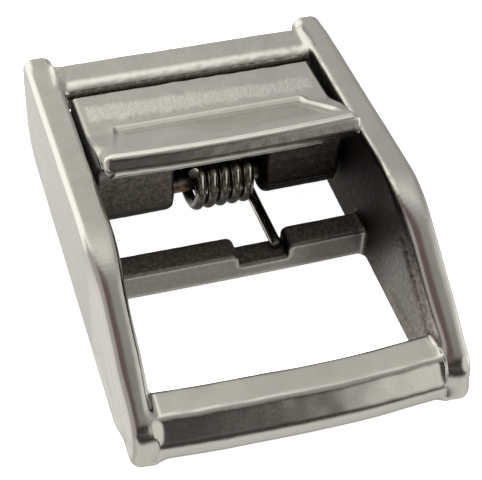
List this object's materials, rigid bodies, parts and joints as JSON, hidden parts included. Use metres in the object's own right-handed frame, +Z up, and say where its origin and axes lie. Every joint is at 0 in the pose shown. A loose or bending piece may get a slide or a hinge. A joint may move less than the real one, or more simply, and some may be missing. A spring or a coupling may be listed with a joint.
{
  "type": "cam buckle",
  "caption": "Spring-loaded cast steel cam buckle for flat webbing, with a loop bar, a spring notch and a thumb lever with a bare panel.",
  "frame": {"origin": "centre of the buckle's outline on the base plane", "axes": "+Z up from the base, +Y towards the rear bar where the strap enters, +X to the right across the strap"},
  "size_m": [0.0336, 0.0472, 0.0167],
  "materials": {
    "frame": "cast stainless steel, tumbled and polished, satin top bands with bright rims",
    "cam": "cast stainless steel, satin, with a rough cast strip and a polished lip",
    "pin": "drawn steel, dull",
    "spring": "bright drawn spring wire"
  },
  "bodies": {
    "frame": {"frame": "frame", "pin": "pin", "spring": "spring"},
    "lever": {"cam": "cam"}
  },
  "joints": [
    {"name": "lever_pivot", "type": "hinge", "parent": "frame", "child": "lever", "pos_m": [0, 0.0077, 0.0052], "axis": [1, 0, 0], "range_deg": [0, 35], "stiffness_Nm_per_rad": 0.17, "springref_deg": -14.9, "deforming": ["spring"]}
  ]
}
